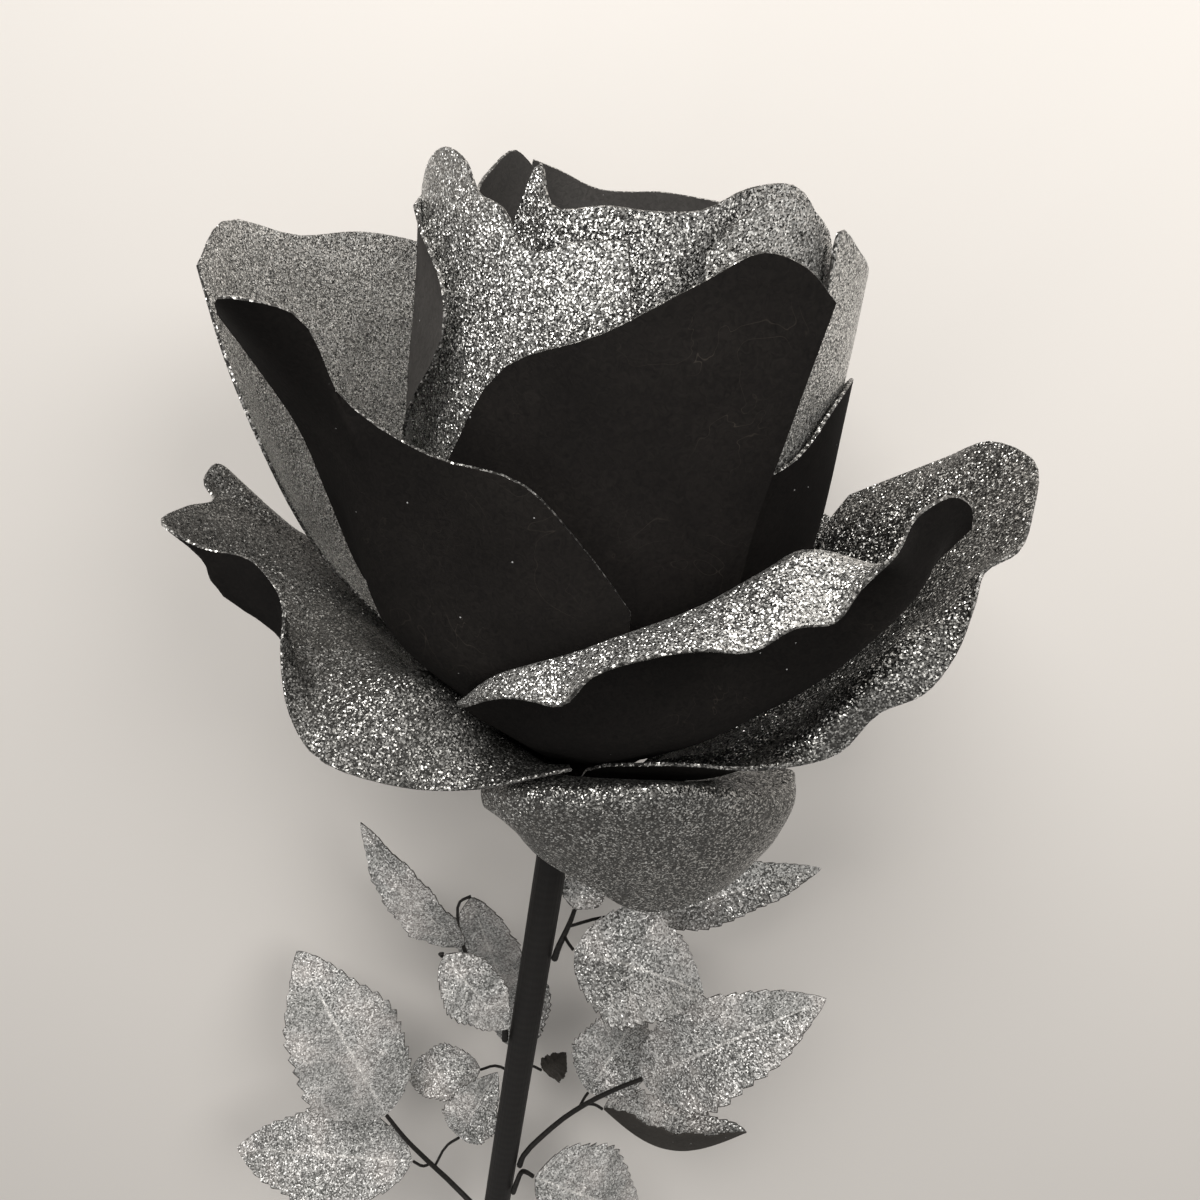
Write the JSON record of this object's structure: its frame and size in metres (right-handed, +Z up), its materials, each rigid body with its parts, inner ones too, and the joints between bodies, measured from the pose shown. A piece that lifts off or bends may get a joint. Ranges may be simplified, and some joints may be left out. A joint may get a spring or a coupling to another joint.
{
  "type": "giant glitter sheet rose",
  "caption": "Giant artificial rose lying on its back, its cupped, overlapping petals and toothed leaves cut from sheet with silver glitter on one face and matte black on the other.",
  "frame": {"origin": "bottom centre of the bounding box, on the surface that the flower lies on", "axes": "+Y along the flower towards the bud, +X to the flower's right as the picture shows it, +Z up"},
  "size_m": [0.3078, 0.9672, 0.2683],
  "materials": {
    "petal_sheet": "coarse silver glitter on one face and matte black on the other; which face is outside differs from petal to petal",
    "leaf_sheet": "silver glitter above, dark matte below",
    "core_board": "plain matte black, hidden",
    "stem_wrap": "near-black, satin",
    "wire_wrap": "near-black, matte"
  },
  "bodies": {
    "root": {"heart_petal": "petal_sheet", "inner_left_petal": "petal_sheet", "inner_back_petal": "petal_sheet", "inner_front_petal": "petal_sheet", "bud_back_petal": "petal_sheet", "bud_left_petal": "petal_sheet", "bud_right_petal": "petal_sheet", "bud_side_petal": "petal_sheet", "guard_right_petal": "petal_sheet", "guard_back_petal": "petal_sheet", "guard_front_petal": "petal_sheet", "guard_left_petal": "petal_sheet", "left_wing_petal": "petal_sheet", "front_cup_petal": "petal_sheet", "left_spread_petal": "petal_sheet", "right_spread_petal": "petal_sheet", "back_left_spread_petal": "petal_sheet", "back_right_spread_petal": "petal_sheet", "hanging_petal": "petal_sheet", "petal_core": "core_board", "stem": "stem_wrap", "upper_left_wire": "wire_wrap", "upper_left_long_leaf": "leaf_sheet", "upper_left_bright_leaf": "leaf_sheet", "upper_left_back_leaf": "leaf_sheet", "upper_right_wire": "wire_wrap", "upper_right_bud_leaf": "leaf_sheet", "upper_right_far_leaf": "leaf_sheet", "upper_right_broad_leaf": "leaf_sheet", "middle_right_wire": "wire_wrap", "middle_right_end_leaf": "leaf_sheet", "middle_right_upper_leaf": "leaf_sheet", "middle_right_curled_leaf": "leaf_sheet", "lower_left_wire": "wire_wrap", "lower_left_broad_leaf": "leaf_sheet", "lower_left_side_leaf": "leaf_sheet", "lower_left_inner_leaf": "leaf_sheet", "lower_right_wire": "wire_wrap", "lower_right_broad_leaf": "leaf_sheet", "back_wire": "wire_wrap", "back_upper_leaf": "leaf_sheet", "back_small_leaf": "leaf_sheet", "back_lower_leaf": "leaf_sheet"}
  },
  "joints": []
}
